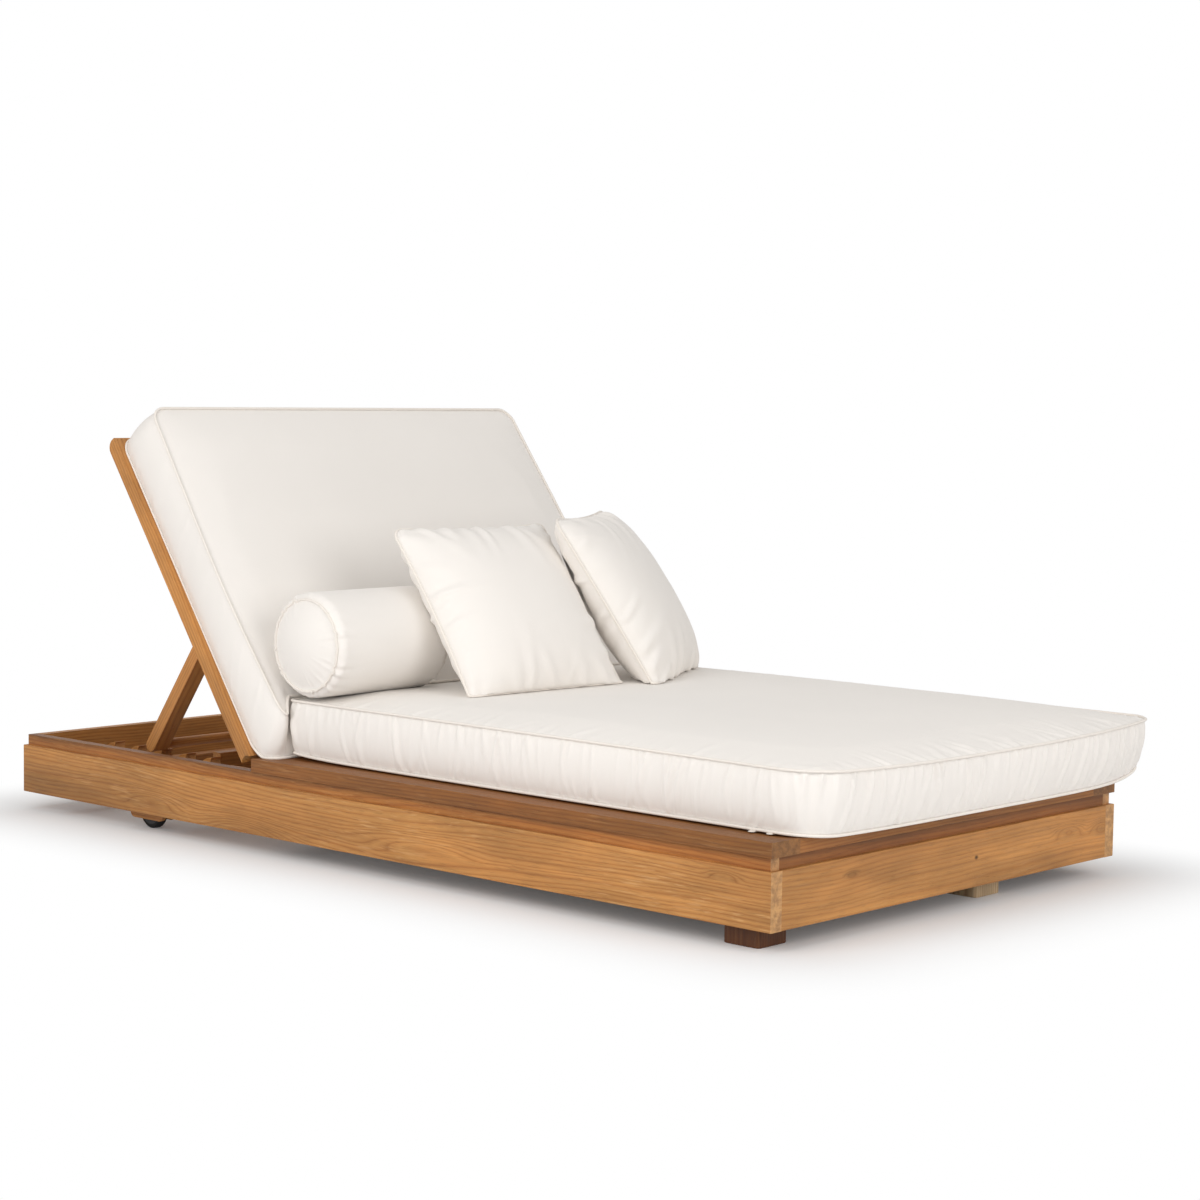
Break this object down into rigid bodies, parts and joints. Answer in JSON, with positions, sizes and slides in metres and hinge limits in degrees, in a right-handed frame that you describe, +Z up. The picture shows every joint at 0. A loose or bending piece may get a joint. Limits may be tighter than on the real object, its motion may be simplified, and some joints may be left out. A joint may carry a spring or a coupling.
{
  "type": "double chaise lounger",
  "caption": "Low, wide timber sun lounger on rear wheels, with a reclining back held by a hooked-rack prop, boxed cushions, a bolster and throw pillows.",
  "frame": {"origin": "on the ground, under the middle of the whole object at rest; the base stands 29 mm to -X and 18.5 mm to +Y of it, because the seat cushion overhangs the base on its right side and at the foot", "axes": "+X across the lounger, +Y along it from the foot end to the head end, +Z up"},
  "size_m": [1.1314, 2.1363, 0.8737],
  "materials": {
    "teak": "oiled teak with open grain",
    "dark_wood": "dark stained hardwood",
    "cushion_fabric": "plain woven outdoor cloth, off-white",
    "steel": "brushed stainless steel",
    "tyre_rubber": "matt black rubber",
    "wheel_plastic": "matt black plastic"
  },
  "bodies": {
    "base": {"bearer_deck_end": "teak", "bearer_foot": "teak", "bearer_head": "teak", "bearer_middle": "teak", "bearer_rack_middle": "teak", "bolster": "cushion_fabric", "deck_beam_left": "teak", "deck_beam_middle": "teak", "deck_beam_right": "teak", "deck_foot_rail": "teak", "deck_rear_rail": "teak", "deck_side_rail_left": "teak", "deck_side_rail_right": "teak", "deck_slats": "teak", "foot_block_left": "dark_wood", "foot_block_middle": "dark_wood", "foot_block_right": "dark_wood", "foot_board": "teak", "head_board": "teak", "hinge_leaves_deck": "steel", "hinge_pins": "steel", "rack_cross_rail": "teak", "rack_left": "teak", "rack_right": "teak", "seat_cushion": "cushion_fabric", "side_board_left": "teak", "side_board_right": "teak", "throw_pillow_left": "cushion_fabric", "throw_pillow_right": "cushion_fabric", "wheel_axle_left": "steel", "wheel_axle_right": "steel", "wheel_bracket_left": "teak", "wheel_bracket_right": "teak"},
    "back_frame": {"back_batten_left": "teak", "back_batten_middle": "teak", "back_batten_right": "teak", "back_bottom_rail": "teak", "back_cushion": "cushion_fabric", "back_slats": "teak", "back_stile_left": "teak", "back_stile_right": "teak", "back_top_rail": "teak", "hinge_leaves_back": "steel", "prop_bracket_left": "steel", "prop_bracket_right": "steel", "prop_nuts": "steel", "prop_washers": "steel"},
    "prop": {"prop_bar": "teak", "prop_leg_left": "teak", "prop_leg_right": "teak"},
    "left_wheel": {"wheel_hub_left": "wheel_plastic", "wheel_tyre_left": "tyre_rubber"},
    "right_wheel": {"wheel_hub_right": "wheel_plastic", "wheel_tyre_right": "tyre_rubber"}
  },
  "joints": [
    {"name": "back_recline", "type": "hinge", "parent": "base", "child": "back_frame", "pos_m": [-0.029, 0.301, 0.1955], "axis": [-1, 0, 0], "range_deg": [0, 54.9]},
    {"name": "prop_swing", "type": "hinge", "parent": "back_frame", "child": "prop", "pos_m": [-0.029, 0.524, 0.45801], "axis": [1, 0, 0], "range_deg": [0, 109.9]},
    {"name": "left_wheel_spin", "type": "hinge", "parent": "base", "child": "left_wheel", "pos_m": [-0.516, 0.6735, 0.038], "axis": [1, 0, 0], "continuous": true},
    {"name": "right_wheel_spin", "type": "hinge", "parent": "base", "child": "right_wheel", "pos_m": [0.458, 0.6735, 0.038], "axis": [1, 0, 0], "continuous": true}
  ],
  "couplings": [
    {"joint": "prop_swing", "follows": "back_recline", "ratio": 2}
  ]
}
